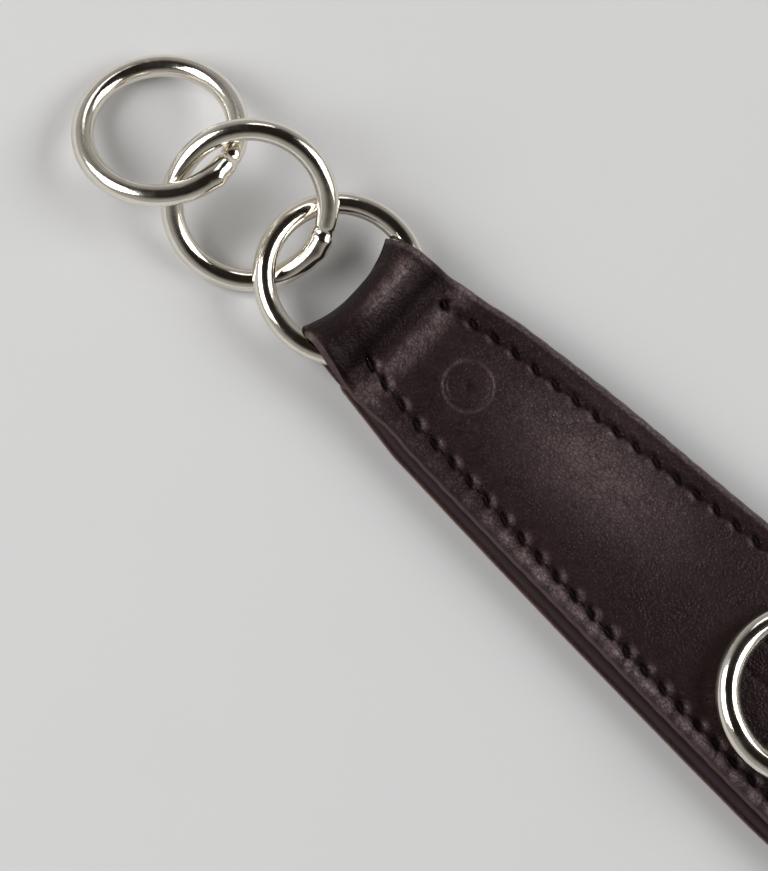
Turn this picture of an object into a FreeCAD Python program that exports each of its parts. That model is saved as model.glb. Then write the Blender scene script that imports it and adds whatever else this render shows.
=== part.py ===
import FreeCAD, Part
import math
import os

import Sketcher

# Martingale bridge: a padded leather strap with a chain of three welded rings at each end and a
# flop-over ring on the middle of its face.
# X runs along the strap, Y across it, Z up out of the face. The strap lies on its flat back on Z = 0
# and the origin is under its middle. Each end is the other one turned half a turn about Z.

V = FreeCAD.Vector
os.makedirs("parts", exist_ok=True)
doc = FreeCAD.newDocument("martingale_bridge")
dims = doc.addObject("Spreadsheet::Sheet", "Dims")

DRIVING = {
    # leather, felt and webbing layers, from the back up
    "backing_thick": 1.6,
    "pad_thick": 3.6,
    "core_thick": 1.2,
    "turnback_thick": 1.8,
    "face_thick": 1.9,
    # plan outline: two long bowed sides, then straight necks down to the folds
    "middle_half_width": 23.9,
    "shoulder_x": 104.5,
    "shoulder_half_width": 17.1,
    "side_bulge": 0.43,
    "fold_x": 134.0,
    "fold_half_width": 12.0,
    "crease_x": 114.0,
    "backing_end_x": 123.0,
    "turnback_end_x": 90.0,
    "turnback_half_width": 10.5,
    # rings
    "ring_wire": 4.4,
    "ring_radius": 15.0,
    "ring_station": 135.0,
    "ring_height": 7.8,
    "centre_wire": 5.0,
    "centre_radius": 15.5,
    # gaps between pieces that move against each other
    "ring_gap": 0.3,
    "flex_gap": 0.3,
    "rock_rise": 1.35,
    # chape that holds the centre ring
    "chape_thick": 1.8,
    "chape_half_width": 5.0,
    "chape_bore": 3.7,
    "chape_foot_x": 29.0,
    "centre_gap": 0.35,
    # saddle stitching
    "stitch_pitch": 4.9,
    "stitch_long": 3.6,
    "stitch_wide": 0.8,
    "stitch_proud": 0.4,
    "edge_row_inset": 5.0,
    "centre_row_half": 3.2,
}
WORKED_OUT = {
    "pad_bottom": "=backing_thick",
    "core_bottom": "=pad_bottom + pad_thick",
    "turnback_bottom": "=core_bottom + core_thick",
    "face_bottom": "=turnback_bottom + turnback_thick",
    "face_top": "=face_bottom + face_thick",
    "neck_slope": "=(shoulder_half_width - fold_half_width) / (fold_x - shoulder_x)",
    "side_fall": "=middle_half_width - shoulder_half_width",
    "side_chord": "=shoulder_x + side_fall * side_fall / (2 * shoulder_x)",
    "side_centre_y": "=shoulder_half_width + side_fall / 2 - shoulder_x * side_chord / (8 * side_bulge)",
    "pocket_floor": "=ring_height - ring_wire / 2 - ring_gap",
    "pocket_roof": "=ring_height + ring_wire / 2 + ring_gap",
    "fold_roof": "=pocket_roof + rock_rise",
    "fold_inner_radius": "=(fold_roof - pocket_floor) / 2",
    "fold_outer_radius": "=fold_inner_radius + turnback_thick",
    "fold_axis_x": "=fold_x - fold_outer_radius",
    "fold_axis_z": "=pocket_floor + fold_inner_radius",
    "far_arc_x": "=ring_station - ring_radius",
    "centre_axis_z": "=face_top + centre_wire / 2 + centre_gap",
}
for row, (alias, value) in enumerate({**DRIVING, **WORKED_OUT}.items(), start=1):
    dims.set(f"A{row}", alias)
    dims.set(f"B{row}", str(value))
    dims.setAlias(f"B{row}", alias)
doc.recompute()
SCRATCH_CELL = "D1"


def size(expression):
    """The value of an expression in the sheet's own names, such as 'face_top - 1'."""
    dims.set(SCRATCH_CELL, f"={expression}")
    dims.recompute()
    value = float(dims.get(SCRATCH_CELL))
    dims.clear(SCRATCH_CELL)
    return value


def bound(expression):
    """The same expression, with every name pointing into the sheet, for setExpression."""
    words = expression.replace("(", " ( ").replace(")", " ) ").split()
    return " ".join(f"Dims.{w}" if w in DRIVING or w in WORKED_OUT else w for w in words)


# ---------------------------------------------------------------- sketches

def arc_through(start, middle, stop):
    """A counter-clockwise arc, and which of its two ends are the start and the stop."""
    through = Part.Circle(start, middle, stop)
    centre = through.Center
    circle = Part.Circle(centre, V(0, 0, 1), through.Radius)
    first, last = (math.atan2((p - centre).y, (p - centre).x) for p in (start, stop))
    if (middle - start).cross(stop - middle).z > 0:
        return Part.ArcOfCircle(circle, first, last), (1, 2)
    return Part.ArcOfCircle(circle, last, first), (2, 1)


def outline(sketch, corners, arcs=None):
    """Adds a closed outline through corners, each a pair of expressions, and pins every corner.

    arcs maps the number of a side to (middle point, "DistanceX" or "DistanceY", that coordinate of
    the arc's centre); other sides are straight.
    """
    arcs = arcs or {}
    base = len(sketch.Geometry)
    points = [V(size(x), size(y), 0) for x, y in corners]
    ends = []
    for side, start in enumerate(points):
        stop = points[(side + 1) % len(points)]
        if side in arcs:
            x, y = arcs[side][0]
            curve, order = arc_through(start, V(size(x), size(y), 0), stop)
        else:
            curve, order = Part.LineSegment(start, stop), (1, 2)
        sketch.addGeometry(curve)
        ends.append(order)

    def pin(kind, side, spot, expression):
        number = sketch.addConstraint(
            Sketcher.Constraint(kind, -1, 1, base + side, spot, size(expression)))
        sketch.setExpression(f"Constraints[{number}]", bound(expression))

    for side, (x, y) in enumerate(corners):
        after = (side + 1) % len(corners)
        sketch.addConstraint(Sketcher.Constraint(
            "Coincident", base + side, ends[side][1], base + after, ends[after][0]))
        pin("DistanceX", side, ends[side][0], x)
        pin("DistanceY", side, ends[side][0], y)
        if side in arcs:
            pin(arcs[side][1], side, 3, arcs[side][2])


def origin_plane(body, role):
    return next(f for f in body.Origin.OriginFeatures if f.Role == role)


def body_sketch(body, name, bottom):
    sketch = body.newObject("Sketcher::SketchObject", name)
    sketch.AttachmentSupport = [(origin_plane(body, "XY_Plane"), "")]
    sketch.MapMode = "FlatFace"
    sketch.setExpression(".AttachmentOffset.Base.z", bound(bottom))
    return sketch


def plan_corners(end_x, inset):
    """Corners of the strap's plan outline, shrunk by inset, and cut off square at end_x."""
    middle = f"middle_half_width - {inset}"
    shoulder = f"shoulder_half_width - {inset}"
    end = f"shoulder_half_width - ( {end_x} - shoulder_x ) * neck_slope - {inset}"
    return [
        ("0 - shoulder_x", shoulder), ("0 * 1", middle), ("shoulder_x", shoulder),
        (end_x, end), (end_x, f"0 - ( {end} )"),
        ("shoulder_x", f"0 - ( {shoulder} )"), ("0 * 1", f"0 - ( {middle} )"),
        ("0 - shoulder_x", f"0 - ( {shoulder} )"),
        (f"0 - ( {end_x} )", f"0 - ( {end} )"), (f"0 - ( {end_x} )", end),
    ]


def rectangle(sketch, x_low, x_high, half_width):
    low_y = f"0 - ( {half_width} )"
    outline(sketch, [(x_low, low_y), (x_high, low_y), (x_high, half_width), (x_low, half_width)])


# ---------------------------------------------------------------- flat layers of the strap

def new_body(label):
    body = doc.addObject("PartDesign::Body", label)
    body.Label = label
    return body


def pad_up(body, sketch, thick):
    pad = body.newObject("PartDesign::Pad", f"{body.Name}_pad")
    pad.Profile = sketch
    pad.setExpression("Length", bound(thick))
    sketch.Visibility = False
    doc.recompute()
    return pad


def layer(label, bottom, thick, end_x, inset):
    """A flat layer with the strap's plan outline."""
    body = new_body(label)
    sketch = body_sketch(body, f"{label}_outline", bottom)
    crest = f"shoulder_half_width + side_fall / 2 + side_bulge - {inset}"
    rear = (crest, f"side_centre_y - {inset}")
    front = (f"0 - ( {crest} )", f"{inset} - side_centre_y")
    sides = {side: ((f"{halfway} / 2", near), "DistanceY", centre_y)
             for side, halfway, (near, centre_y) in (
                 (0, "0 - shoulder_x", rear), (1, "shoulder_x", rear),
                 (5, "shoulder_x", front), (6, "0 - shoulder_x", front))}
    outline(sketch, plan_corners(end_x, inset), sides)
    pad_up(body, sketch, thick)
    return body


def cut_down(body, sketch, thick):
    """Cuts a sketch that lies on the underside of a layer up through it."""
    before = body.Shape.Volume
    pocket = body.newObject("PartDesign::Pocket", f"{body.Name}_pocket")
    pocket.Profile = sketch
    pocket.Reversed = True
    pocket.setExpression("Length", bound(thick))
    sketch.Visibility = False
    doc.recompute()
    if body.Shape.Volume >= before:
        raise RuntimeError(f"{body.Label}: the pocket cuts nothing")


backing = layer("backing_leather", "0 * 1", "backing_thick", "backing_end_x", "0")
pad = layer("pad_felt", "pad_bottom", "pad_thick", "crease_x - 1", "1.2")
core = layer("core_strap", "core_bottom", "core_thick", "crease_x - 1.5", "0.9")
face = layer("face_leather", "face_bottom", "face_thick", "crease_x - flex_gap", "0.6")

# two slits let the chape down through the face
slits = body_sketch(face, "chape_slits", "face_bottom")
SLIT_NEAR = "chape_bore - flex_gap"
SLIT_FAR = "chape_bore + chape_thick + flex_gap"
rectangle(slits, SLIT_NEAR, SLIT_FAR, "chape_half_width + flex_gap")
rectangle(slits, f"0 - ( {SLIT_FAR} )", f"0 - ( {SLIT_NEAR} )", "chape_half_width + flex_gap")
cut_down(face, slits, "face_thick")

# the filler levels the face round the two turned-back ends and the chape's feet
filler = layer("face_filler", "turnback_bottom", "turnback_thick", "crease_x - 1", "0.9")
rooms = body_sketch(filler, "filler_rooms", "turnback_bottom")
END_NEAR, END_FAR = "turnback_end_x - 0.5", "crease_x + 1"
END_HALF_WIDTH = "turnback_half_width + 0.3"
rectangle(rooms, END_NEAR, END_FAR, END_HALF_WIDTH)
rectangle(rooms, f"0 - ( {END_FAR} )", f"0 - ( {END_NEAR} )", END_HALF_WIDTH)
rectangle(rooms, "0 - ( chape_foot_x + 0.3 )", "chape_foot_x + 0.3", "chape_half_width + 0.3")
cut_down(filler, rooms, "turnback_thick")


# ---------------------------------------------------------------- pieces cut from a side profile

SIDE_UP = FreeCAD.Rotation(V(1, 0, 0), 90)   # a sketch's x and y become X and Z
HALF_TURN = FreeCAD.Rotation(V(0, 0, 1), 180)
ENDS = {"right": FreeCAD.Rotation(), "left": HALF_TURN}


def extrusion(name, outlines, turn, length, middle=True):
    """A prism on a free sketch of one or more (corners, arcs), which turn puts in place."""
    sketch = doc.addObject("Sketcher::SketchObject", f"{name}_sketch")
    sketch.Placement = FreeCAD.Placement(V(0, 0, 0), turn)
    for corners, arcs in outlines:
        outline(sketch, corners, arcs)
    doc.recompute()
    prism = doc.addObject("Part::Extrusion", name)
    prism.Base = sketch
    prism.DirMode = "Normal"
    prism.Solid = True
    prism.Symmetric = middle
    prism.setExpression("LengthFwd", bound(length))
    sketch.Visibility = False
    doc.recompute()
    return prism


def ring_loop(side):
    """The end of the strap, folded round the inner ring: roof, fold and floor round a pocket that
    is open at both sides, and a pinched root behind it."""
    knee = "far_arc_x + 7.5"
    skin = [
        ("crease_x", "turnback_bottom"),
        ("far_arc_x - 1.2", "pocket_floor - turnback_thick"),
        ("fold_axis_x", "pocket_floor - turnback_thick"),
        ("fold_axis_x", "fold_roof + turnback_thick"),
        (knee, "fold_roof + turnback_thick"),
        ("far_arc_x - 0.9", "pocket_roof + turnback_thick"),
        ("far_arc_x - 3.4", "face_top + 0.6"),
        ("crease_x", "face_top"),
    ]
    pocket = [
        ("far_arc_x - 2.7", "ring_height - 1"), ("far_arc_x - 0.6", "pocket_floor"),
        ("fold_axis_x", "pocket_floor"), ("fold_axis_x", "fold_roof"), (knee, "fold_roof"),
        ("far_arc_x - 0.6", "pocket_roof"), ("far_arc_x - 2.7", "ring_height + 1"),
    ]
    fold = {2: (("fold_x", "fold_axis_z"), "DistanceX", "fold_axis_x")}
    bend = {2: (("fold_x - turnback_thick", "fold_axis_z"), "DistanceX", "fold_axis_x")}
    profile = extrusion(f"{side}_loop_profile", [(skin, fold), (pocket, bend)],
                        ENDS[side] * SIDE_UP, "2 * shoulder_half_width")
    inner = "shoulder_half_width - ( crease_x - shoulder_x ) * neck_slope - 0.6"
    front = "fold_half_width"
    plan = [("crease_x", f"0 - ( {inner} )"), ("fold_x", f"0 - {front}"),
            ("fold_x", front), ("crease_x", inner)]
    width = extrusion(f"{side}_loop_plan", [(plan, {})], ENDS[side], "face_top * 2", middle=False)
    loop = doc.addObject("Part::Common", f"{side}_ring_loop")
    loop.Base = profile
    loop.Tool = width
    loop.Label = f"{side}_ring_loop"
    return loop


def turned_back_end(side):
    """The skived end of the folded leather, sewn between the core and the face."""
    box = doc.addObject("Part::Box", f"{side}_turned_back_end")
    box.Label = f"{side}_turned_back_end"
    box.setExpression("Length", bound("crease_x - flex_gap - turnback_end_x"))
    box.setExpression("Width", bound("2 * turnback_half_width"))
    box.setExpression("Height", bound("turnback_thick"))
    low_x = "turnback_end_x" if side == "right" else "0 - ( crease_x - flex_gap )"
    box.setExpression("Placement.Base.x", bound(low_x))
    box.setExpression("Placement.Base.y", bound("0 - turnback_half_width"))
    box.setExpression("Placement.Base.z", bound("turnback_bottom"))
    return box


def centre_chape():
    """A strip that comes up through one slit, arches over the centre ring and goes down the other."""
    leg = "chape_bore + chape_thick"
    corners = [
        ("0 - chape_foot_x", "turnback_bottom"), ("0 - chape_bore", "turnback_bottom"),
        ("0 - chape_bore", "centre_axis_z"), ("chape_bore", "centre_axis_z"),
        ("chape_bore", "turnback_bottom"), ("chape_foot_x", "turnback_bottom"),
        ("chape_foot_x", "face_bottom"), (leg, "face_bottom"),
        (leg, "centre_axis_z"), (f"0 - ( {leg} )", "centre_axis_z"),
        (f"0 - ( {leg} )", "face_bottom"), ("0 - chape_foot_x", "face_bottom"),
    ]
    arcs = {
        2: (("0 * 1", "centre_axis_z + chape_bore"), "DistanceY", "centre_axis_z"),
        8: (("0 * 1", f"centre_axis_z + {leg}"), "DistanceY", "centre_axis_z"),
    }
    strip = extrusion("centre_chape", [(corners, arcs)], SIDE_UP, "2 * chape_half_width")
    strip.Label = "centre_chape"
    return strip


# ---------------------------------------------------------------- rings

# How each ring lies at rest on the left end: how far out its centre is from the ring before it,
# how far aside, its rise above the ring in the fold, and its roll about X and pitch about Y, so
# that linked wires clear each other by ring_gap.
REST = {
    "inner": {"out": 0.0, "aside": 0.0, "rise": 0.0, "roll": 0.0, "pitch": 0.0},
    "middle": {"out": 22.26, "aside": -2.07, "rise": 2.26, "roll": 27.81, "pitch": 15.13},
    "outer": {"out": 22.62, "aside": -2.65, "rise": 0.45, "roll": -6.44, "pitch": -21.45},
}


def ring(label, radius, wire):
    torus = doc.addObject("Part::Torus", label)
    torus.Label = label
    torus.setExpression("Radius1", bound(radius))
    torus.setExpression("Radius2", bound(wire))
    return torus


def chain(side):
    """Three linked rings, from the one in the fold out to the free one."""
    rings = []
    reach = size("ring_station")
    for place, rest in REST.items():
        torus = ring(f"{side}_{place}_ring", "ring_radius", "ring_wire / 2")
        reach += rest["out"]
        tilt = (FreeCAD.Rotation(V(0, 1, 0), rest["pitch"])
                * FreeCAD.Rotation(V(1, 0, 0), rest["roll"]))
        centre = V(-reach, rest["aside"], size("ring_height") + rest["rise"])
        on_left = FreeCAD.Placement(centre, tilt)
        turn = FreeCAD.Rotation() if side == "left" else HALF_TURN
        torus.Placement = FreeCAD.Placement(V(0, 0, 0), turn) * on_left
        rings.append(torus)
    return rings


def centre_ring():
    torus = ring("centre_ring", "centre_radius", "centre_wire / 2")
    torus.setExpression("Placement.Base.x", bound("0 - centre_radius"))
    torus.setExpression("Placement.Base.z", bound("centre_axis_z"))
    return torus


# ---------------------------------------------------------------- saddle stitching

def side_line(x):
    """Half width of the strap at x, and the slope of that side there."""
    shoulder_x = size("shoulder_x")
    if abs(x) <= shoulder_x:
        share, fall, bulge = abs(x) / shoulder_x, size("side_fall"), size("side_bulge")
        slope = math.copysign(4 * bulge * (1 - 2 * share) - fall, x) / shoulder_x
        return size("middle_half_width") - fall * share + 4 * bulge * share * (1 - share), slope
    slope = -math.copysign(size("neck_slope"), x)
    return size("shoulder_half_width") + slope * (x - math.copysign(shoulder_x, x)), slope


def stitch(x, y, slope):
    """One stitch lying on the face, along the row's own direction."""
    length, width = size("stitch_long"), size("stitch_wide")
    block = Part.makeBox(length, width, size("stitch_proud"), V(-length / 2, -width / 2, 0))
    turn = FreeCAD.Rotation(V(0, 0, 1), math.degrees(math.atan(slope)))
    block.Placement = FreeCAD.Placement(V(x, y, size("face_top")), turn)
    return block


def stitch_row(label, places):
    row = doc.addObject("Part::Feature", label)
    row.Label = label
    row.Shape = Part.Compound([stitch(*place) for place in places])
    return row


def edge_row(label, side):
    """A row that follows one long edge of the face from crease to crease."""
    pitch = size("stitch_pitch")
    count = int(size("crease_x - stitch_long / 2 - flex_gap") / pitch)
    places = []
    for number in range(-count, count + 1):
        half_width, slope = side_line(number * pitch)
        places.append((number * pitch, side * (half_width - size("edge_row_inset")), side * slope))
    return stitch_row(label, places)


def centre_row(label, side):
    """A row that holds one long edge of the chape's feet, outside the arch."""
    pitch = size("stitch_pitch")
    first = size("chape_bore + chape_thick") + pitch
    count = int((size("chape_foot_x") - first) / pitch)
    row_y = side * size("centre_row_half")
    places = [(end * (first + number * pitch), row_y, 0)
              for end in (-1, 1) for number in range(count + 1)]
    return stitch_row(label, places)


subparts = [backing, pad, core, filler, face, centre_chape(), centre_ring()]
for side in ("left", "right"):
    subparts += [ring_loop(side), turned_back_end(side)] + chain(side)
subparts += [edge_row("front_edge_stitching", -1), edge_row("rear_edge_stitching", 1)]
subparts += [centre_row("front_centre_stitching", -1), centre_row("rear_centre_stitching", 1)]
doc.recompute()

for item in doc.Objects:
    if "Invalid" in item.State or "Error" in item.State:
        raise RuntimeError(f"{item.Label} failed: {item.State}")
for item in subparts:
    if item.Shape.isNull() or not item.Shape.isValid() or not item.Shape.Solids:
        raise RuntimeError(f"{item.Label}: bad shape")
    item.Shape.exportStep(f"parts/{item.Label}.step")
    box = item.Shape.BoundBox
    print(f"{item.Label:26s} {item.Shape.Volume:10.1f} mm3  "
          f"x {box.XMin:.2f} {box.XMax:.2f}  y {box.YMin:.2f} {box.YMax:.2f}  "
          f"z {box.ZMin:.2f} {box.ZMax:.2f}")
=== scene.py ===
import math

import bpy
import numpy as np
from mathutils import Matrix, Vector, noise


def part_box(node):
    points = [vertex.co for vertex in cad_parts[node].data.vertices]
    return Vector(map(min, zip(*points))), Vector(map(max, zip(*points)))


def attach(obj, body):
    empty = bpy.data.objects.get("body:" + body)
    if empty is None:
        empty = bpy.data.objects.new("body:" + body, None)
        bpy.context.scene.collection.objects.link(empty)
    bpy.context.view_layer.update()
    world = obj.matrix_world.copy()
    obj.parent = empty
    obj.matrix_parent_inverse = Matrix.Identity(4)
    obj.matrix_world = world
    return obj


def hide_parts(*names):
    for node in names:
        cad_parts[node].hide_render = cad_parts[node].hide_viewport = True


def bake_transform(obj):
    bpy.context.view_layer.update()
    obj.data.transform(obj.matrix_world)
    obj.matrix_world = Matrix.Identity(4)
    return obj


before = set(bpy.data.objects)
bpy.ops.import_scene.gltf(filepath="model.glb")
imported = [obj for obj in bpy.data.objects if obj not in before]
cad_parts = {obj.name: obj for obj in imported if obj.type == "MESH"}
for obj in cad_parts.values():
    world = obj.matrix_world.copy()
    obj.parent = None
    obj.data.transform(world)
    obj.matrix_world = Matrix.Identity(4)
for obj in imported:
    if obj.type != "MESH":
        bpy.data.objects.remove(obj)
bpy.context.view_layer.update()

MM = 0.001

# ------------------------------------------------------------------ sizes, in mm: a few read from model.glb, the rest given


def corner(node, which, axis):
    """One coordinate of a CAD node's box, in mm."""
    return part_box(node)[which][axis] / MM


LOW, HIGH = 0, 1
FACE_TOP = corner("face_leather", HIGH, 2)
FACE_BOTTOM = corner("face_leather", LOW, 2)
FOLD_X = corner("right_ring_loop", HIGH, 0)
LOOP_LOW, LOOP_HIGH = corner("right_ring_loop", LOW, 2), corner("right_ring_loop", HIGH, 2)
BACKING_TOP = corner("backing_leather", HIGH, 2)
BACKING_END = corner("backing_leather", HIGH, 0)
MIDDLE_HALF = corner("backing_leather", HIGH, 1)
SHOULDER_X, SHOULDER_HALF = 104.5, 17.1
FOLD_HALF = 12.0
NECK_SLOPE = (SHOULDER_HALF - FOLD_HALF) / (FOLD_X - SHOULDER_X)
SHEET = 1.8                  # thickness of the face leather where it folds
SIDE_BULGE = 0.43            # how far each half of a long side stands out from a straight line
# where the two long sides differ, -1 is the front one and 1 the rear one
LIP = {-1: 1.15, 1: 0.0}     # how far the grain side stops short of the outline near the ends
LIP_MORE = {-1: 0.45, 1: -0.65}   # what it adds to that in the middle, front, or halfway, rear
LIP_FOLD = {-1: 0.7, 1: 0.2}      # how far it reaches past the outline at the fold
BEVEL = {-1: 0.5, 1: 0.3}    # how far the cut edge leans out below the grain side
ROW_IN = {-1: 5.5, 1: 5.1}   # the long stitch rows, in from the outline near the strap's ends
ROW_OUT = 0.75               # how much nearer the outline they run in the middle
LAST_SLIT = {-1: 119.6, 1: 116.8}   # how far out each long row's last slit is
PITCH = 4.9                  # from slit to slit
CROWN = 0.8                  # how far the face falls from its middle to the stitch rows
SLIT_LEAN = math.radians(-22)     # how the awl's slits lie to the strap's length
STITCH_LEAN = -0.2           # how far across a stitch runs from its middle to its end
MARK_X, MARK_Y, MARK_RADIUS = -103.0, 0.8, 4.6   # a plain circle and dot pressed in the face
FOLD_FROM = 123.5            # the fold's hollowed front edge starts this far from the middle
TUCKED_LOW = 6.4             # underside of the sheet where it goes in between the layers
CHAPE_ROW = 3.2              # how far the chape's stitch rows are from the middle line


def half_width(x):
    """Half width of the strap's outline at x."""
    away = abs(x)
    if away <= SHOULDER_X:
        share = math.hypot(away, 5.0 * bell(away, 9.0)) / SHOULDER_X     # rounds the middle
        bow = 4 * SIDE_BULGE * share * (1 - share)
        return MIDDLE_HALF - (MIDDLE_HALF - SHOULDER_HALF) * share + bow
    return SHOULDER_HALF - NECK_SLOPE * (away - SHOULDER_X)


def face_edge(x, side):
    """Half width of the face leather at x, which reaches past the outline at the fold."""
    away = abs(x)
    more = 1 - ease(away, 50, 105) if side < 0 else bell(away - 84, 24)
    lip = LIP[side] + LIP_MORE[side] * more
    return half_width(x) - lip + (LIP[side] + LIP_FOLD[side]) * ease(away, 106.0, 119.5)


def row_at(x, side):
    """Distance of a long stitch row from the strap's middle line at x."""
    return half_width(x) - ROW_IN[side] + ROW_OUT * (1 - ease(abs(x), 42, 100))


def wander(x, y, z, across=1.0):
    """Smooth noise from -1 to 1, with features about across mm wide."""
    return noise.noise(Vector((x / across, y / across, z / across)))


def bell(distance, width):
    """1 at distance 0, falling smoothly to nearly 0 past twice the width."""
    return math.exp(-(distance / width) ** 2)


def ease(value, low, high):
    """0 below low, 1 above high, smooth between."""
    t = min(1.0, max(0.0, (value - low) / (high - low)))
    return t * t * (3 - 2 * t)


# ------------------------------------------------------------------ mesh building


def new_object(name, points, faces, materials, face_slots=None):
    """A smooth mesh object from points in mm."""
    mesh = bpy.data.meshes.new(name)
    mesh.from_pydata([tuple(c * MM for c in p) for p in points], [], faces)
    for material in materials:
        mesh.materials.append(material)
    if face_slots is not None:
        mesh.polygons.foreach_set("material_index", face_slots)
    mesh.polygons.foreach_set("use_smooth", [True] * len(mesh.polygons))
    mesh.validate()
    mesh.update()
    obj = bpy.data.objects.new(name, mesh)
    bpy.context.scene.collection.objects.link(obj)
    return obj


def sheet_solid(name, upper, lower, materials):
    """A closed sheet from two grids of points, [row][column]. Its rim takes the second material."""
    rows, columns = len(upper), len(upper[0])
    points = [p for grid in (upper, lower) for line in grid for p in line]
    below = rows * columns
    faces, slots = [], []

    def at(i, j, level=0):
        return level * below + i * columns + j

    for i in range(rows - 1):
        for j in range(columns - 1):
            faces.append((at(i, j), at(i + 1, j), at(i + 1, j + 1), at(i, j + 1)))
            faces.append((at(i, j, 1), at(i, j + 1, 1), at(i + 1, j + 1, 1), at(i + 1, j, 1)))
            slots += [0, 0]
    rim = [(i, 0) for i in range(rows)] + [(rows - 1, j) for j in range(1, columns)]
    rim += [(i, columns - 1) for i in range(rows - 2, -1, -1)]
    rim += [(0, j) for j in range(columns - 2, 0, -1)]
    for here, after in zip(rim, rim[1:] + rim[:1]):
        faces.append((at(*here), at(*here, 1), at(*after, 1), at(*after)))
        slots.append(min(1, len(materials) - 1))
    return new_object(name, points, faces, materials, slots)


def tube(points, faces, path, radii, around=8):
    """Adds a closed tube along a path of points, with an (across, up) pair of radii at each."""
    base = len(points)
    for n, here in enumerate(path):
        before, after = path[max(n - 1, 0)], path[min(n + 1, len(path) - 1)]
        along = (Vector(after) - Vector(before)).normalized()
        side = along.cross(Vector((0, 0, 1)))
        side = side.normalized() if side.length > 1e-6 else Vector((0, 1, 0))
        up = side.cross(along)
        for k in range(around):
            angle = 2 * math.pi * k / around
            points.append(Vector(here) + side * math.cos(angle) * radii[n][0]
                          + up * math.sin(angle) * radii[n][1])
    for n in range(len(path) - 1):
        for k in range(around):
            a, b = base + n * around + k, base + n * around + (k + 1) % around
            faces.append((a, b, b + around, a + around))
    faces.append(tuple(base + k for k in range(around - 1, -1, -1)))
    faces.append(tuple(base + (len(path) - 1) * around + k for k in range(around)))


# ------------------------------------------------------------------ materials


class Nodes:
    """A short way to write a node material in object space, with lengths in mm."""

    def __init__(self, name):
        self.material = bpy.data.materials.new(name)
        self.material.use_nodes = True
        self.tree = self.material.node_tree
        self.shader = self.tree.nodes["Principled BSDF"]
        self.place = self.add("ShaderNodeTexCoord").outputs["Object"]

    def add(self, kind, inputs=None, **settings):
        node = self.tree.nodes.new(kind)
        for key, value in settings.items():
            setattr(node, key, value)
        for key, value in (inputs or {}).items():
            self.put(node.inputs[key], value)
        return node

    def put(self, socket, value):
        if isinstance(value, bpy.types.NodeSocket):
            self.tree.links.new(value, socket)
        else:
            socket.default_value = value

    def stretched(self, scale):
        return self.add("ShaderNodeMapping", {"Vector": self.place, "Scale": scale}).outputs[0]

    def noise(self, size, detail=3.0, rough=0.55, place=None):
        return self.add("ShaderNodeTexNoise", {
            "Vector": place or self.place, "Scale": 1 / (size * MM), "Detail": detail,
            "Roughness": rough}).outputs["Fac"]

    def cells(self, size, feature="F1", place=None):
        return self.add("ShaderNodeTexVoronoi", {
            "Vector": place or self.place, "Scale": 1 / (size * MM)},
            feature=feature).outputs["Distance"]

    def ramp(self, value, *stops):
        """Maps a number through (position, number or colour) stops."""
        node = self.add("ShaderNodeValToRGB", {"Fac": value})
        band = node.color_ramp
        while len(band.elements) < len(stops):
            band.elements.new(0.5)
        for element, (position, colour) in zip(band.elements, stops):
            element.position = position
            if isinstance(colour, (int, float)):
                colour = (colour,) * 3
            element.color = (*colour, 1)
        return node.outputs["Color"]

    def math(self, operation, a, b=0.0):
        return self.add("ShaderNodeMath", {0: a, 1: b}, operation=operation).outputs[0]

    def mix(self, share, a, b):
        node = self.add("ShaderNodeMix", data_type="RGBA")
        for socket, value in ((0, share), (6, a), (7, b)):
            if socket and not isinstance(value, bpy.types.NodeSocket):
                value = (*value, 1)
            self.put(node.inputs[socket], value)
        return node.outputs[2]

    def bump(self, height, depth, under=None):
        inputs = {"Height": height, "Distance": depth * MM, "Strength": 1.0}
        if under is not None:
            inputs["Normal"] = under
        return self.add("ShaderNodeBump", inputs).outputs[0]

    def finish(self, **values):
        for key, value in values.items():
            if isinstance(value, tuple) and len(value) == 3:
                value = (*value, 1)
            self.put(self.shader.inputs[key.replace("_", " ")], value)
        return self.material


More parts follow.
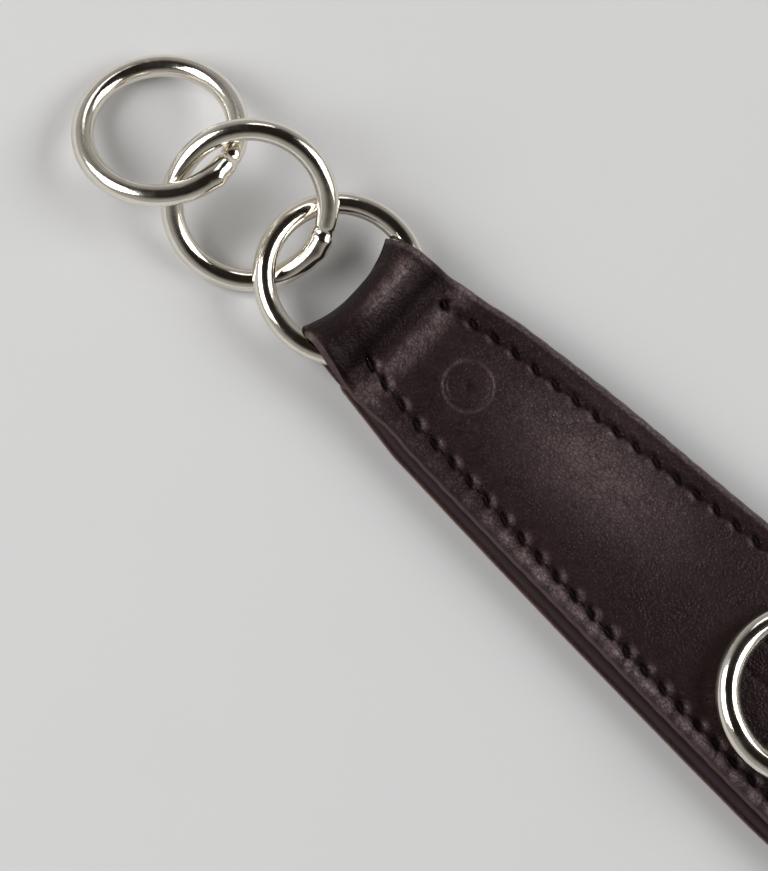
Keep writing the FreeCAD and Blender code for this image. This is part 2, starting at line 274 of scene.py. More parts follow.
def leather(name, dark, light, pebble, rough, depth):
    """Dyed bridle leather: fine pebbled grain, pores, drifting colour, with painted highlights and
    painted shade taken from a point attribute.
    """
    n = Nodes(name)
    painted_light_level = n.add("ShaderNodeAttribute", attribute_name="painted_light").outputs["Fac"]
    mottle = n.noise(3.0, 5, 0.6)
    colour = n.mix(n.ramp(n.noise(14, 4), (0.35, 0.0), (0.68, 1.0)), dark, light)
    colour = n.mix(n.ramp(mottle, (0.4, 0.0), (0.75, 0.3)), colour, tuple(c * 1.4 for c in light))
    # painted highlight where the attribute is above 0, broken up by mottle and a crease net;
    # painted shade where it is below 0
    painted_light_mask = n.math("MULTIPLY", n.ramp(painted_light_level, (0.0, 0.0), (1.0, 1.0)),
                    n.ramp(mottle, (0.3, 0.55), (0.6, 1.0)))
    shaded = n.math("MINIMUM", n.math("MAXIMUM", n.math("MULTIPLY", painted_light_level, -1.0), 0.0), 1.0)
    net = n.cells(0.75, "DISTANCE_TO_EDGE", n.stretched((0.6, 1, 1)))
    painted_light_mask = n.math("MULTIPLY", painted_light_mask, n.ramp(net, (0.0, 0.35), (0.17, 1.0)))
    grain = n.ramp(n.cells(pebble), (0.0, 1.0), (0.62, 0.0))
    colour = n.mix(n.math("MULTIPLY", grain, 0.42), colour, tuple(c * 1.5 for c in light))
    # painted highlight lightens the colour towards a pale mauve, painted shade darkens it nearly to
    # black
    colour = n.mix(n.math("MULTIPLY", painted_light_mask, 0.85), colour, (0.148, 0.108, 0.111))
    colour = n.mix(n.math("MULTIPLY", shaded, 0.9), colour, (0.0022, 0.0011, 0.0013))
    pores = n.ramp(n.noise(0.28, 2), (0.42, 0.0), (0.5, 1.0))
    height = n.bump(n.noise(1.9, 6, 0.62), depth * 1.5)
    height = n.bump(grain, depth, height)
    height = n.bump(pores, depth * 0.35, height)
    shine = n.ramp(n.noise(5.5, 4), (0.3, rough[0]), (0.72, rough[1]))
    # painted highlights are also glossier and painted shade duller
    gloss = n.math("ADD", 0.2, n.math("MULTIPLY", painted_light_mask, 0.4))
    gloss = n.math("MULTIPLY", gloss, n.math("SUBTRACT", 1.0, shaded))
    return n.finish(Base_Color=colour, Roughness=shine, Normal=height,
                    Specular_IOR_Level=gloss, Specular_Tint=(1.0, 0.76, 0.76))


def painted_edge():
    """The strap's long side: layers pressed together, painted and rubbed smooth, darker towards the
    top as painted shade under the face leather.
    """
    n = Nodes("painted_edge")
    up = n.math("MULTIPLY", n.add("ShaderNodeSeparateXYZ", {0: n.place}).outputs["Z"], 100.0)
    up = n.math("ADD", up, n.math("MULTIPLY", n.noise(9, 3), 0.02))
    # from the bottom up: a lighter joint line near 2 mm, then the painted side, darker towards the
    # top as painted shade under the face leather's overhanging edge
    band = n.ramp(up, (0.16, (0.04, 0.018, 0.016)), (0.2, (0.11, 0.045, 0.03)),
                  (0.235, (0.03, 0.016, 0.017)), (0.36, (0.023, 0.0125, 0.0145)),
                  (0.5, (0.021, 0.0105, 0.0125)), (0.72, (0.014, 0.0065, 0.0085)))
    streak = n.noise(1.0, 4, 0.6, n.stretched((0.16, 0.16, 1.6)))
    colour = n.mix(n.ramp(streak, (0.38, 0.0), (0.7, 0.4)), band, (0.028, 0.018, 0.021))
    height = n.bump(streak, 0.09)
    height = n.bump(n.noise(0.35, 3), 0.02, height)
    return n.finish(Base_Color=colour, Normal=height,
                    Roughness=n.ramp(streak, (0.3, 0.42), (0.7, 0.56)),
                    Specular_IOR_Level=0.07, Specular_Tint=(1.0, 0.7, 0.72))


def burnished_edge(name, dark, light):
    """Cut leather edge, burnished brown with its fibres still showing."""
    n = Nodes(name)
    fibre = n.noise(0.5, 5, 0.7, n.stretched((0.5, 0.5, 2.2)))
    colour = n.mix(n.ramp(fibre, (0.32, 0.0), (0.7, 1.0)), dark, light)
    return n.finish(Base_Color=colour, Normal=n.bump(fibre, 0.12), Roughness=0.46)


def nickel():
    """Nickel plate, a little warm, with hairline rubbing and softer patches."""
    n = Nodes("nickel")
    patch = n.noise(4.5, 4)
    hair = n.noise(0.35, 3, 0.6, n.stretched((1, 1, 0.3)))
    colour = n.mix(n.ramp(patch, (0.3, 0.0), (0.7, 1.0)), (0.80, 0.745, 0.64), (0.90, 0.86, 0.78))
    height = n.bump(n.noise(2.6, 3), 0.035)
    height = n.bump(hair, 0.006, height)
    return n.finish(Base_Color=colour, Metallic=1.0, Normal=height,
                    Roughness=n.ramp(patch, (0.3, 0.10), (0.72, 0.18)))


def waxed_thread():
    """Twisted linen thread, waxed nearly black."""
    n = Nodes("waxed_thread")
    ply = n.add("ShaderNodeTexWave", {"Vector": n.stretched((1, 1, 1)), "Scale": 260.0,
                                      "Distortion": 1.2}, bands_direction="DIAGONAL").outputs["Fac"]
    colour = n.mix(ply, (0.004, 0.0025, 0.003), (0.012, 0.0075, 0.008))
    return n.finish(Base_Color=colour, Normal=n.bump(ply, 0.1), Roughness=0.75,
                    Specular_IOR_Level=0.06)


FACE = leather("face_leather", dark=(0.0066, 0.0027, 0.0032), light=(0.0126, 0.0062, 0.0068),
               pebble=0.62, rough=(0.25, 0.38), depth=0.1)
BACK = leather("backing_leather", dark=(0.022, 0.012, 0.012), light=(0.036, 0.021, 0.02),
               pebble=0.8, rough=(0.5, 0.62), depth=0.07)
EDGE = burnished_edge("burnished_edge", (0.026, 0.014, 0.016), (0.075, 0.038, 0.034))
# the backing's burnished rim, lighter than the face's edge: partly the lining's paler leather,
# partly painted light, as this rim faces down and gets little light
BACK_EDGE_WITH_PAINTED_LIGHT = burnished_edge("backing_edge_with_painted_light", (0.08, 0.042, 0.038), (0.2, 0.1, 0.075))
SIDE = painted_edge()
NICKEL = nickel()
THREAD = waxed_thread()

# ------------------------------------------------------------------ the face leather

# The outer skin from the middle of the strap out over the ring, round the fold and back under, to
# the skived end between the layers: (distance from the middle, height).
SKIN = [
    (0, FACE_TOP), (40, FACE_TOP), (80, FACE_TOP), (104, FACE_TOP), (108.5, FACE_TOP - 0.05),
    (111.5, FACE_TOP - 0.2), (113.4, FACE_TOP - 0.25), (115.4, FACE_TOP + 0.25),
    (117.4, FACE_TOP + 0.7), (120.2, FACE_TOP + 0.7), (123.2, FACE_TOP + 1.5),
    (125.8, LOOP_HIGH - 0.85), (127.6, LOOP_HIGH - 0.08), (129.0, LOOP_HIGH - 0.03),
    (131.0, LOOP_HIGH - 0.6), (132.8, LOOP_HIGH - 2.15),
    (FOLD_X, (LOOP_LOW + LOOP_HIGH) / 2), (132.7, LOOP_LOW + 2.05), (130.2, LOOP_LOW + 0.35),
    (127.0, LOOP_LOW), (122.5, LOOP_LOW), (119.0, LOOP_LOW + 0.1), (116.6, LOOP_LOW + 1.5),
    (114.0, 6.35), (111.5, 6.45), (104.0, 6.45),
]
STEP = 0.36                  # between the points of the skin line
RIM_COLUMNS = [0.0, 0.1, 0.25, 0.45, 0.7, 1.0] + [1.0 + 0.3 * k for k in range(1, 15)]
BODY_COLUMNS = 64            # across the strap, between the closer ones along both edges


def skin_line():
    """Evenly spaced points on a smooth line through SKIN, with the outward normal at each."""
    spots = [Vector((u, 0, z)) for u, z in SKIN]
    dense = []
    for n in range(len(spots) - 1):
        p0, p1 = spots[max(n - 1, 0)], spots[n]
        p2, p3 = spots[n + 1], spots[min(n + 2, len(spots) - 1)]
        chord = (p2 - p1).length
        m1 = (p2 - p0) * (chord / max((p2 - p0).length, 1e-6)) * 0.96
        m2 = (p3 - p1) * (chord / max((p3 - p1).length, 1e-6)) * 0.96
        count = max(4, int(chord / 0.1))
        for k in range(count):
            t = k / count
            dense.append((2 * t**3 - 3 * t**2 + 1) * p1 + (t**3 - 2 * t**2 + t) * m1
                         + (3 * t**2 - 2 * t**3) * p2 + (t**3 - t**2) * m2)
    dense.append(spots[-1])
    arc = np.concatenate([[0], np.cumsum([(b - a).length for a, b in zip(dense, dense[1:])])])
    even = np.linspace(0, arc[-1], int(arc[-1] / STEP))
    u = np.interp(even, arc, [p.x for p in dense])
    z = np.interp(even, arc, [p.z for p in dense])
    du, dz = np.gradient(u), np.gradient(z)
    length = np.hypot(du, dz)
    return list(zip(u, z, -dz / length, du / length))


LINE = skin_line()
TOP_END = max(range(len(LINE)), key=lambda n: LINE[n][0])
TOP_U = [p[0] for p in LINE[:TOP_END]]
TOP_Z = [p[1] for p in LINE[:TOP_END]]


def slit_places(side):
    """How far from the middle of the strap each slit of one long row is."""
    last = LAST_SLIT[side]
    return [(k + 0.5) * PITCH for k in range(24) if (k + 0.5) * PITCH < last - 0.6 * PITCH] + [last]


def slit_lean(x, side):
    """How the slit at x lies to the strap's length: no two are cut quite alike."""
    return SLIT_LEAN + 0.3 * wander(x, side * 7, 0, 3.1)


def row_hole(x, inward, side):
    """How deep the nearest slanted stitch slit is at x along the row and inward mm past it, and
    how far the leather bulges up beside it."""
    nearest = (math.floor(x / PITCH) + 0.5) * PITCH
    last = LAST_SLIT[side]
    if abs(nearest) > last - 0.6 * PITCH:
        nearest = math.copysign(last, x)
    dx, dy = x - nearest, -side * inward
    lean = slit_lean(nearest, side)
    along = dx * math.cos(lean) + dy * math.sin(lean)
    across = dy * math.cos(lean) - dx * math.sin(lean)
    slit = bell(along / 1.15, 1.0) * bell(across, 0.46)
    if side > 0 and abs(nearest) == last:
        slit = max(slit, bell(math.hypot(dx, dy) / 1.25, 0.9))
    pucker = bell(along + 0.7 * side, 1.1) * bell(across + 1.3 * side, 0.6)
    pucker += 0.5 * bell(along - 2.0, 0.55) * bell(across, 0.8)
    return slit, pucker


def crown(x, v):
    """How far the padded face falls away from its middle towards the stitch rows."""
    share = min(abs(v) / row_at(x, 1 if v > 0 else -1), 1.0)
    return -CROWN * share ** 3.2


def pressed_mark(x, y):
    """Depth of the mark's ring and dot, below 0."""
    reach = math.hypot(x - MARK_X, y - MARK_Y)
    return -0.42 * bell(reach - MARK_RADIUS, 0.36) - 0.36 * bell(reach, 0.9)


def sewn_at(x, side):
    """1 along a stitched row, 0 past its end."""
    return 1 - ease(abs(x), LAST_SLIT[side] + 0.6, LAST_SLIT[side] + 3.0)


def painted_light(x, y):
    """How much painted highlight, also glossier (above 0), or painted shade, also duller (below 0),
    the face gets at a place.
    """
    side = 1 if y > 0 else -1
    u, gap, inward = abs(x), face_edge(x, side) - abs(y), row_at(x, side) - abs(y)
    slit, pucker = row_hole(x, inward, side)
    sewn = sewn_at(x, side)
    if side < 0:                              # the front edge's roll, creased across
        # painted highlight along the front edge's roll, broken where it is creased across
        rolled = 1 - 0.86 * ease(u, 62, 94)
        beat = 0.8 + 0.4 * math.cos(2 * math.pi * x / PITCH)
        crimp = max(wander(x + 0.4 * gap, 22, 0, 0.8), 0.0)
        value = 1.45 * rolled * beat * (1 - crimp) * bell(gap - 1.35, 1.05)
    else:                                     # the rear edge's bevel
        # painted highlight along the rear edge's bevel
        value = 0.6 * (1 - ease(gap, 1.1, 1.6))
    # painted highlight on the puckers beside the slits
    value += 0.75 * sewn * pucker * (1 - slit)
    # painted highlight over the ring, broken by fine ridges
    ridges = wander(x * 0.4, y, 2, 0.55)      # over the ring, more towards the rear
    lit = ease(y, -9.0, 3.0) * (1 - ease(y, 8.0, 12.0))
    value += (0.95 + 0.8 * ridges) * bell(u - 128.2, 1.9) * lit
    if x < 0:
        reach = math.hypot(x - MARK_X, y - MARK_Y)
        # painted highlight round the mark's pressed ring, painted shade in its dot
        value += 0.35 * bell(reach - MARK_RADIUS - 0.45, 0.3) - 0.6 * bell(reach, 0.8)
    # painted highlight on the creased step up to the fold, and a broad painted sheen on the body
    value += bell(u - 116.0, 2.2) * (0.3 + 0.7 * abs(wander(x + 0.5 * y, y * 0.35, 9, 0.8)))
    value += 0.55 * bell(u - 74, 19) * bell(y - 6, 9)
    # shade behind the ring, round the fold's nose, along its front part and in the stitch rows
    value -= 0.75 * bell(u - 122.2, 2.3) + 0.3 * bell(u - 133.0, 2.0)
    value -= 0.35 * bell(u - 127.0, 3.0) * (1 - ease(y, -9.0, 1.0))
    value -= sewn * (1.7 * slit + (0.3 if side > 0 else 0.1) * bell(inward, 1.4))
    return max(-1.0, min(1.0, value))


def relief(x, y):
    """Height of the face above its plain level at (x, y) on the top of the strap."""
    side = 1 if y > 0 else -1
    u, v = abs(x), abs(y)
    gap, inward = face_edge(x, side) - v, row_at(x, side) - v
    sewn = sewn_at(x, side)
    beat = math.cos(2 * math.pi * x / PITCH)
    slit, pucker = row_hole(x, inward, side)
    height = crown(x, y)
    # the stitch row's groove, slits and puckers
    height -= sewn * (0.34 + 0.06 * beat) * bell(inward, 0.75)
    height += sewn * (0.2 * pucker - 1.0 * slit)
    # the rolled edge
    roll = (1 - 0.55 * ease(u, 70, 108)) * (1.0 if side < 0 else 0.5)
    height += 0.42 * roll * bell(gap - 1.15, 0.85)
    # how each stitch pulls the leather either side of it, and the creases across the edge
    pull = 0.75 + 0.5 * wander(x, side * 40, 3, 7)
    height += sewn * 0.12 * beat * pull * bell(inward + 1.4, 1.0)
    height += sewn * 0.06 * beat * pull * bell(inward - 1.6, 1.5)
    crimp = wander(x, side * 12, gap * 0.25, 0.5) + wander(x + 0.4 * gap, side * 22, 0, 0.9)
    height += sewn * 0.1 * crimp * bell(gap - 1.2, 1.0)
    # broad unevenness
    height += 0.09 * wander(x, y, 0, 17) + 0.035 * wander(x, y, 5, 4.5)
    # fine creases in the step up to the fold, and wrinkles over the ring
    net = ease(u, 110.5, 115.0) * (1 - ease(u, 118.0, 121.0))
    height += net * 0.13 * wander(x + 0.5 * y, y * 0.35, 9, 0.8)
    height += net * 0.1 * wander(x - 0.4 * y, y * 0.4, 4, 0.55)
    wrinkled = bell(u - 126.4, 3.0) * (1 - ease(v, 9.0, 12.5))
    height += wrinkled * (0.2 * wander(x * 0.4, y, 2, 0.55) + 0.1 * wander(x * 0.3, y, 7, 1.2))
    # where the chape comes up, and the grooves of its stitch rows
    if u < 7.5 and v < 6.5:
        height -= 0.34 * bell(u - 4.6, 1.2) * (1 - ease(v, 5.0, 6.4))
    if 8 < u < 31 and v < 6:
        along = ease(u, 8, 10) * (1 - ease(u, 28, 31))
        height -= 0.26 * bell(v - CHAPE_ROW, 0.6) * along
    if abs(x - MARK_X) < 8 and abs(y - MARK_Y) < 9:
        height += pressed_mark(x, y)
    return height


def rounding(gap, radius=1.0):
    """Drop of a rounded rim at gap mm in from the edge."""
    if gap >= radius:
        return 0.0
    return radius - math.sqrt(max(radius ** 2 - (radius - max(gap, 0.0)) ** 2, 0.0))


def columns_at(front, rear):
    """Places across the strap from -front to rear, close together near both edges."""
    left = [gap - front for gap in RIM_COLUMNS]
    right = [rear - gap for gap in reversed(RIM_COLUMNS)]
    middle = [left[-1] + (right[0] - left[-1]) * k / BODY_COLUMNS for k in range(1, BODY_COLUMNS)]
    return left + middle + right


def fold_reach(v):
    """How much of the fold's full reach there is at v: its front edge is hollow."""
    share = min(abs(v) / FOLD_HALF, 1.0)
    return 0.76 + 0.25 * share ** 2.3


def pinch(u, v):
    """How far the fold's two sheets are pressed together at their sides, behind the ring."""
    return ease(abs(v), 7.5, 11.3) * (1 - ease(u, 117.6, 122.6)) * ease(u, 112.5, 116)


def face_cover(end, sign):
    """Half of the face leather, in one piece with its fold round the inner ring."""
    upper, lower, painted_light_level = [], [], []
    for n, (u, z, nu, nz) in enumerate(LINE):
        on_top = n <= TOP_END
        tucked = 0 if on_top else 1 - ease(u, 111.5, 116.0)
        edges = {side: face_edge(u, side) for side in (-1, 1)}
        edges = {side: edge + (10.5 - edge) * tucked for side, edge in edges.items()}
        loose = ease(u, 120.0, 124.0)
        line_up, line_down = [], []
        for y in columns_at(edges[-1], edges[1]):
            x, v = sign * u, abs(y)
            side = 1 if y > 0 else -1
            gap = edges[side] - v
            if on_top:
                lift = relief(x, y) * (1 - 0.55 * loose)
            else:
                lift = 0.05 * wander(x, y, z, 3.5)
            sag = -0.3 * bell(u - 119.5, 3.2) * (1 - (v / FOLD_HALF) ** 2) if on_top else 0.0
            shape = crown(x, y) * (1 - loose) if on_top else 0.0
            reach = FOLD_FROM + (u - FOLD_FROM) * fold_reach(v) if u > FOLD_FROM else u
            scallop = 0.04 * math.cos(2 * math.pi * x / PITCH) * bell(gap, 0.8) * (1 - loose)
            out = v + scallop - 0.04 * wander(x, 30, 0, 14) * bell(gap, 3)
            rise = lift - rounding(gap, 1.0 - 0.5 * loose)
            shut = pinch(u, v) * ((FACE_TOP if on_top else TUCKED_LOW) - z)
            if on_top == (shut > 0):
                shut = 0.0
            line_up.append((sign * (reach + nu * rise), math.copysign(out, y),
                            z + nz * rise + sag + shut))
            thick = SHEET - rounding(gap, 0.35)
            lean = BEVEL[side] + (0.55 * loose if side < 0 else 0.0)
            slant = lean * bell(gap, 0.9) * (1 - tucked) if on_top else 0.0
            line_down.append((sign * (reach - nu * thick), math.copysign(out + slant, y),
                              z - nz * thick + sag + shape + shut))
            painted_light_level.append(painted_light(x, y) if on_top else 0.0)
        upper.append(line_up)
        lower.append(line_down)
    cover = sheet_solid(f"{end}_face_cover", upper, lower, [FACE, EDGE])
    # the painted highlight and painted shade for each point, which the face leather's colour reads
    painted_light_mask = cover.data.attributes.new("painted_light", "FLOAT", "POINT")
    painted_light_mask.data.foreach_set("value", painted_light_level + [0.0] * len(painted_light_level))
    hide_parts("face_leather", f"{end}_ring_loop", f"{end}_turned_back_end")
    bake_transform(cover)


# ------------------------------------------------------------------ padding and backing


def padding():
    """The padded middle of the strap, whose painted long sides show under the face."""
    stations = [float(x) for x in np.linspace(-119.0, 119.0, 477)]
    # the long side's section, from top to bottom: (in from the outline, height)
    rim = [(1.5, 7.55), (1.05, 7.35), (0.78, 6.9), (0.62, 6.2), (0.52, 5.4), (0.48, 4.6),
           (0.48, 3.8), (0.52, 3.1), (0.6, 2.5), (0.72, 2.2), (0.66, 1.98), (0.72, 1.76),
           (1.2, 1.62)]
    points, faces = [], []
    across = [0.92, 0.8, 0.62, 0.4, 0.2]      # shares of the half width
    for x in stations:
        w = half_width(x)
        nose = ease(abs(x), 112.5, 119.0)
        ceiling = FACE_BOTTOM - 0.06 - nose * (FACE_BOTTOM - LOOP_LOW + 0.1)
        loop = []
        for side in (1, -1):
            edge = []
            for inset, z in rim:
                wave = 0.05 * wander(x, z * 0.6, side * 20, 6)
                edge.append((x, side * (w - inset + wave), min(z, ceiling - 0.25 * (1 - nose))))
            inner, lowest = rim[0][0], rim[-1]
            top = [(x, side * (w - inner) * s,
                    min(ceiling + crown(x, (w - inner) * s) * (1 - nose), ceiling))
                   for s in reversed(across)]
            floor = [(x, side * (w - lowest[0]) * s, lowest[1]) for s in across]
            half = top + edge + floor
            loop += half if side == 1 else list(reversed(half))
        size = len(loop)
        points += loop
    for i in range(len(stations) - 1):
        for k in range(size):
            a, b = i * size + k, i * size + (k + 1) % size
            faces.append((a, a + size, b + size, b))
    faces.append(tuple(range(size)))
    faces.append(tuple((len(stations) - 1) * size + k for k in range(size - 1, -1, -1)))
    block = new_object("padding", points, faces, [SIDE])
    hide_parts("pad_felt", "core_strap", "face_filler")
    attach(block, "bridge")


def backing():
    """The flat lining leather, with rounded rims and a sewn groove along each side."""
    stations = [float(x) for x in np.linspace(-BACKING_END, BACKING_END, 421)]
    upper, lower = [], []
    for x in stations:
        past = (abs(x) - (BACKING_END - 3.0)) / 3.0
        nip = 3.0 * (1 - math.sqrt(max(1 - past ** 2, 0.0))) if past > 0 else 0.0
        end_gap = BACKING_END - abs(x)
        w = half_width(x) - nip + 0.06 * wander(x, 8, 0, 9)
        row_up, row_down = [], []
        for y in columns_at(w, w):
            gap = w - abs(y)
            drop = max(rounding(gap, 0.3), rounding(end_gap, 0.3))
            groove = 0.4 * bell(abs(y) - row_at(x, 1 if y > 0 else -1), 0.8)
            groove *= 1 - ease(abs(x), 119, 121)
            pillow = 0.03 * (1 + wander(x, y, 0, 6))
            row_up.append((x, y, BACKING_TOP - drop))
            row_down.append((x, y, max(drop, groove) + pillow * (1 - bell(gap, 1))))
        upper.append(row_up)
        lower.append(row_down)
    flat = sheet_solid("backing", upper, lower, [BACK, BACK_EDGE_WITH_PAINTED_LIGHT])
    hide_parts("backing_leather")
    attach(flat, "bridge")


# ------------------------------------------------------------------ stitching


def stitch(points, faces, ends, height, thick=0.4):
    """One thread bead from hole to hole, arched over the leather; height gives the surface."""
    (x0, y0), (x1, y1) = ends
    path, radii = [], []
    for k in range(9):
        t = k / 8
        x, y = x0 + (x1 - x0) * t, y0 + (y1 - y0) * t
        arch = math.sin(math.pi * t) ** 0.6
        path.append((x, y, height(x, y) - 0.75 * (1 - arch) - 0.14 * arch))
        swell = thick * (0.62 + 0.38 * arch)
        radii.append((swell, swell * 0.78))
    tube(points, faces, path, radii)


def plain_top(x, y):
    """The face's surface under a stitch, without the slits."""
    level = float(np.interp(abs(x), TOP_U, TOP_Z))
    level += pinch(abs(x), y) * min(0.0, FACE_TOP - level)
    return level + crown(x, y) - 0.26


def slit_lens(points, faces, x, y, height):
    """The dark lens of thread and shadow that fills one slit."""
    lean = slit_lean(x, 1 if y > 0 else -1)
    path, radii = [], []
    for k in range(9):
        t = k / 4 - 1
        path.append((x + 1.35 * t * math.cos(lean), y + 1.35 * t * math.sin(lean),
                     height(x, y) - 0.52 - 0.1 * t * t))
        swell = math.sqrt(max(1 - t * t, 0.02))
        radii.append((0.38 * swell, 0.28 * swell))
    tube(points, faces, path, radii)


def edge_row(end, sign, row, side):
    """Half of one long row, from the middle of the strap to the fold."""
    points, faces = [], []
    slits = slit_places(side)
    for here, after in zip(slits, slits[1:]):
        places = []
        for x, turn in ((sign * (here + 0.44), -1), (sign * (after - 0.44), 1)):
            places.append((x, side * row_at(x, side) + turn * sign * STITCH_LEAN))
        stitch(points, faces, places, plain_top, 0.26)
    # a dark lens in each slit: thread and the painted shade of the hole in one
    for out in slits:
        slit_lens(points, faces, sign * out, side * row_at(out, side), plain_top)
    rows = new_object(f"{end}_{row}_edge_thread", points, faces, [THREAD])
    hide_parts(f"{row}_edge_stitching")
    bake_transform(rows)


def middle_stitches():
    """The one stitch of each long row that lies across the middle, and the chape's own rows."""
    for row, side in (("front", -1), ("rear", 1)):
        points, faces = [], []
        y = side * row_at(0, side)
        ends = [(turn * PITCH * 0.41, y + turn * STITCH_LEAN) for turn in (-1, 1)]
        stitch(points, faces, ends, plain_top, 0.26)
        middle = new_object(f"{row}_middle_thread", points, faces, [THREAD])
        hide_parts(f"{row}_edge_stitching")
        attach(middle, "bridge")
        points, faces = [], []
        for number in range(4):
            for sign in (-1, 1):
                x = sign * (10.4 + number * PITCH)
                y = side * CHAPE_ROW
                stitch(points, faces, [(x - 2.0, y - 0.15), (x + 2.0, y + 0.15)],
                       lambda a, b: FACE_TOP - 0.3, 0.4)
        centre = new_object(f"{row}_centre_thread", points, faces, [THREAD])
        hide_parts(f"{row}_centre_stitching")
        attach(centre, "bridge")


def back_stitches():
    """The same long rows seen from behind, sunk in the backing's grooves."""
    for row, side in (("front", -1), ("rear", 1)):
        points, faces = [], []
        for number in range(-24, 25):
            middle = number * PITCH
            ends = [(middle + turn * PITCH * 0.41,
                     side * row_at(middle, side) + turn * 0.15) for turn in (-1, 1)]
            path, radii = [], []
            for k in range(9):
                t = k / 8
                arch = math.sin(math.pi * t) ** 0.6
                path.append((ends[0][0] + (ends[1][0] - ends[0][0]) * t,
                             ends[0][1] + (ends[1][1] - ends[0][1]) * t, 0.85 - 0.42 * arch))
                radii.append((0.4 * (0.62 + 0.38 * arch), 0.34 * (0.62 + 0.38 * arch)))
            tube(points, faces, path, radii)
        rows = new_object(f"{row}_back_thread", points, faces, [THREAD])
        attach(rows, "bridge")


# ------------------------------------------------------------------ chape


def chape():
    """The strip that comes up through the face, over the centre ring and down again."""
    reach = 3.7                               # inside radius, round the ring
    axis_z = corner("centre_chape", HIGH, 2) - reach - SHEET
    outer = [(reach + SHEET, z) for z in np.linspace(FACE_BOTTOM - 0.2, axis_z, 12)]
    outer += [((reach + SHEET) * math.cos(a), axis_z + (reach + SHEET) * math.sin(a))
              for a in np.linspace(0, math.pi, 49)[1:-1]]
    outer += [(-(reach + SHEET), z) for z in np.linspace(axis_z, FACE_BOTTOM - 0.2, 12)]
    normals = []
    for x, z in outer:
        if z <= axis_z:
            normals.append((math.copysign(1, x), 0.0))
        else:
            length = math.hypot(x, z - axis_z)
            normals.append((x / length, (z - axis_z) / length))
    half = corner("centre_chape", HIGH, 1)
    gaps = [0, 0.1, 0.25, 0.45, 0.7, 1.0, 1.5]
    across = [g - half for g in gaps]
    across += [float(v) for v in np.linspace(-CHAPE_ROW, CHAPE_ROW, 17)]
    across += [half - g for g in reversed(gaps)]
    upper, lower = [], []
    for (x, z), (nx, nz) in zip(outer, normals):
        line_up, line_down = [], []
        for y in across:
            gap = half - abs(y)
            crease = 0.12 * bell(gap - 1.35, 0.28)
            rise = 0.04 * wander(x, y, z, 3) - rounding(gap, 0.5) - crease
            thick = SHEET - rounding(gap, 0.35)
            line_up.append((x + nx * rise, y, z + nz * rise))
            line_down.append((x - nx * thick, y, z - nz * thick))
        upper.append(line_up)
        lower.append(line_down)
    strip = sheet_solid("chape", upper, lower, [FACE, EDGE])
    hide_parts("centre_chape")
    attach(strip, "bridge")


# ------------------------------------------------------------------ rings


def weld(tip, angle, around):
    """Extra wire radius round a lapped weld. Its upper end finishes in a rounded tip at that angle,
    with a nick past it and a bead of metal on the outside."""
    if tip is None:
        return 0.0
    top = 0.5 + 0.5 * math.sin(around + 0.35)
    finger = ease(angle, tip - 0.75, tip - 0.3) * (1 - ease(angle, tip - 0.07, tip))
    nick = bell(angle - tip - 0.035, 0.035)
    bead = bell(angle - tip + 0.27, 0.06) * max(math.cos(around), 0.0)
    return 0.5 * finger * top ** 1.5 - 0.26 * nick * top + 0.3 * bead


def ring(node, body, tip, weld_at=(1, 0, 0)):
    """A bent and welded wire ring in place of the plain CAD one."""
    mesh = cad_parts[node].data
    co = np.array([v.co for v in mesh.vertices]) / MM
    centre = (co.min(0) + co.max(0)) / 2
    centred = co - centre
    _, vectors = np.linalg.eigh(centred.T @ centred)
    normal = vectors[:, 0] * (1 if vectors[2, 0] > 0 else -1)
    height = centred @ normal
    wire = (height.max() - height.min()) / 2
    radius = np.linalg.norm(centred - np.outer(height, normal), axis=1).max() - wire
    towards = Vector(weld_at) - Vector(normal) * Vector(weld_at).dot(Vector(normal))
    towards.normalize()
    side = Vector(normal).cross(towards)
    steps, around = 260, 28
    points, faces = [], []
    for i in range(steps):
        angle = 2 * math.pi * i / steps
        signed = (angle + math.pi) % (2 * math.pi) - math.pi
        out = towards * math.cos(angle) + side * math.sin(angle)
        wobble = 0.05 * math.cos(2 * angle + 0.6) + 0.03 * math.cos(3 * angle)
        for k in range(around):
            phi = 2 * math.pi * k / around
            r = wire + weld(tip, signed, phi) - 0.02
            points.append(Vector(centre) + out * (radius + wobble + r * math.cos(phi))
                          + Vector(normal) * r * math.sin(phi))
    for i in range(steps):
        for k in range(around):
            a, b = i * around + k, i * around + (k + 1) % around
            c, d = ((i + 1) % steps) * around + (k + 1) % around, ((i + 1) % steps) * around + k
            faces.append((a, d, c, b))
    made = new_object(f"{node}_wire", points, faces, [NICKEL])
    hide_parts(node)
    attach(made, body)


# ------------------------------------------------------------------ the object

for end, sign in (("left", -1), ("right", 1)):
    face_cover(end, sign)
    for row, side in (("front", -1), ("rear", 1)):
        edge_row(end, sign, row, side)
    for place, tip in (("inner", None), ("middle", 0.35), ("outer", 0.16)):
        ring(f"{end}_{place}_ring", f"{end}_{place}_ring", tip, (-sign, 0, 0))
ring("centre_ring", "centre_ring", None)
padding()
backing()
middle_stitches()
back_stitches()
chape()

# ------------------------------------------------------------------ stage, light and camera


def pale_floor():
    reach = 2500.0
    below = -0.1
    corners = [(-reach, -reach, below), (reach, -reach, below), (reach, reach, below),
               (-reach, reach, below)]
    floor = new_object("floor", corners, [(0, 1, 2, 3)], [])
    n = Nodes("floor_paper")
    fleck = n.ramp(n.noise(60, 2), (0.3, 0.585), (0.7, 0.593))
    floor.data.materials.append(n.finish(Base_Color=fleck, Roughness=0.95, Specular_IOR_Level=0.1))


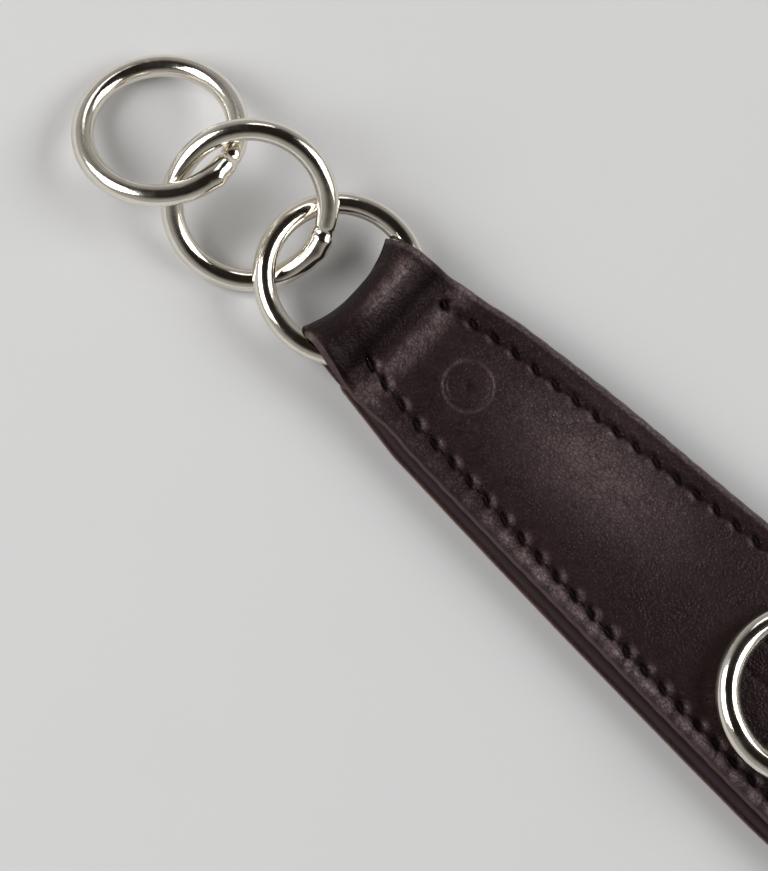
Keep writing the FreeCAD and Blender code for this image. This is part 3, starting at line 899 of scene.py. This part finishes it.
def soft_light(name, place, size, power, target=(-0.10, 0, 0)):
    data = bpy.data.lights.new(name, "AREA")
    data.shape = "RECTANGLE"
    data.size, data.size_y = size
    data.energy = power
    light = bpy.data.objects.new(name, data)
    light.location = place
    light.rotation_euler = (Vector(target) - Vector(place)).to_track_quat("-Z", "Y").to_euler()
    bpy.context.scene.collection.objects.link(light)


TILT = math.radians(15)          # the camera leans this far from straight down, towards -Y
SCREEN_ALONG = (0.737, -0.676)   # where +X points in the picture: (right, up)
VIEW_WIDTH = 0.1477              # metres across the picture
LENS, SENSOR = 200.0, 36.0


def camera():
    back = Vector((0, -math.sin(TILT), math.cos(TILT)))
    along, across = Vector((1, 0, 0)), Vector((0, math.cos(TILT), math.sin(TILT)))
    right = along * SCREEN_ALONG[0] - across * SCREEN_ALONG[1]
    up = along * SCREEN_ALONG[1] + across * SCREEN_ALONG[0]
    low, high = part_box("left_inner_ring")
    target = (low + high) / 2 + right * 0.00827 - up * 0.0301
    data = bpy.data.cameras.new("camera")
    data.lens, data.sensor_width, data.sensor_fit = LENS, SENSOR, "HORIZONTAL"
    data.clip_end = 20
    view = bpy.data.objects.new("camera", data)
    distance = VIEW_WIDTH * LENS / SENSOR
    spot = target + back * distance
    turn = Matrix((right, up, back)).transposed().to_4x4()
    view.matrix_world = Matrix.Translation(spot) @ turn
    bpy.context.scene.collection.objects.link(view)
    bpy.context.scene.camera = view


def surroundings():
    """A studio that is dark overhead and pale round the sides, like a tent open at the top."""
    world = bpy.data.worlds.new("studio")
    world.use_nodes = True
    tree = world.node_tree
    place = tree.nodes.new("ShaderNodeTexCoord")
    split = tree.nodes.new("ShaderNodeSeparateXYZ")
    ramp = tree.nodes.new("ShaderNodeValToRGB")
    tree.links.new(place.outputs["Generated"], split.inputs[0])
    tree.links.new(split.outputs["Z"], ramp.inputs["Fac"])
    band = ramp.color_ramp
    stops = [(0.0, (0.46, 0.45, 0.44)), (0.40, (0.42, 0.41, 0.40)), (0.66, (0.16, 0.15, 0.14)),
             (0.80, (0.018, 0.013, 0.010))]
    while len(band.elements) < len(stops):
        band.elements.new(0.5)
    for element, (position, colour) in zip(band.elements, stops):
        element.position, element.color = position, (*colour, 1)
    tree.links.new(ramp.outputs["Color"], tree.nodes["Background"].inputs["Color"])
    tree.nodes["Background"].inputs["Strength"].default_value = 0.8
    bpy.context.scene.world = world


pale_floor()
surroundings()
# left and right are the picture's own sides, which lie along the strap's diagonal
soft_light("left", (-0.85, -0.62, 0.75), (0.9, 0.7), 14.6)
soft_light("right", (0.55, 0.62, 0.78), (0.9, 0.7), 9.6)
soft_light("far", (-0.75, 0.75, 0.95), (0.5, 0.35), 1.0)
bpy.context.scene.view_settings.view_transform = "Standard"
camera()
